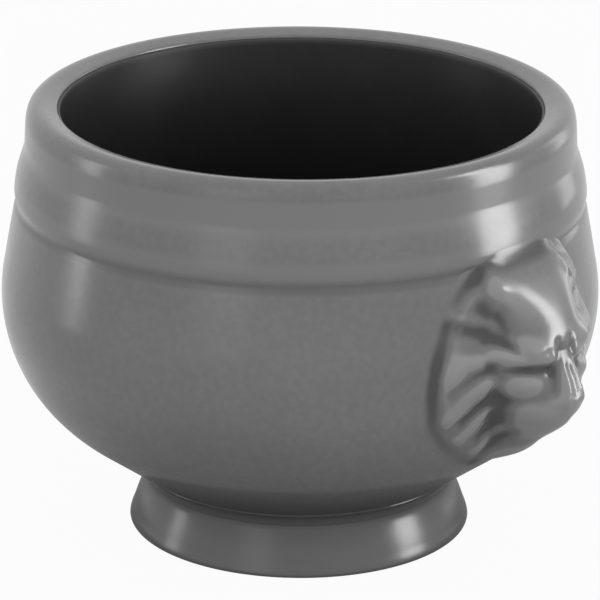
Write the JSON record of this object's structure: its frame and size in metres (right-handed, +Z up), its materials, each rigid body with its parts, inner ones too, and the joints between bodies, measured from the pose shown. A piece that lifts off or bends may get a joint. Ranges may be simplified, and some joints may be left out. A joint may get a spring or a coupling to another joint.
{
  "type": "onion soup crock",
  "caption": "Round footed stoneware soup bowl with a collar band under a thick rounded lip and a moulded lion head lug on opposite sides.",
  "frame": {"origin": "middle of the foot's standing ring, on the plane the crock stands on", "axes": "+Z up along the bowl's axis, +X towards the nose of the right lion head"},
  "size_m": [0.1468, 0.12, 0.0886],
  "materials": {
    "outer_glaze": "glossy mid-grey glaze over fired stoneware",
    "liner_glaze": "satin charcoal liner glaze",
    "slip": "fired luting slip, bare clay"
  },
  "bodies": {
    "root": {"bowl_body": "outer_glaze", "liner_glaze": "liner_glaze", "pedestal_foot": "outer_glaze", "foot_slip": "slip", "lion_head_right": "outer_glaze", "lion_slip_right": "slip", "lion_head_left": "outer_glaze", "lion_slip_left": "slip"}
  },
  "joints": []
}
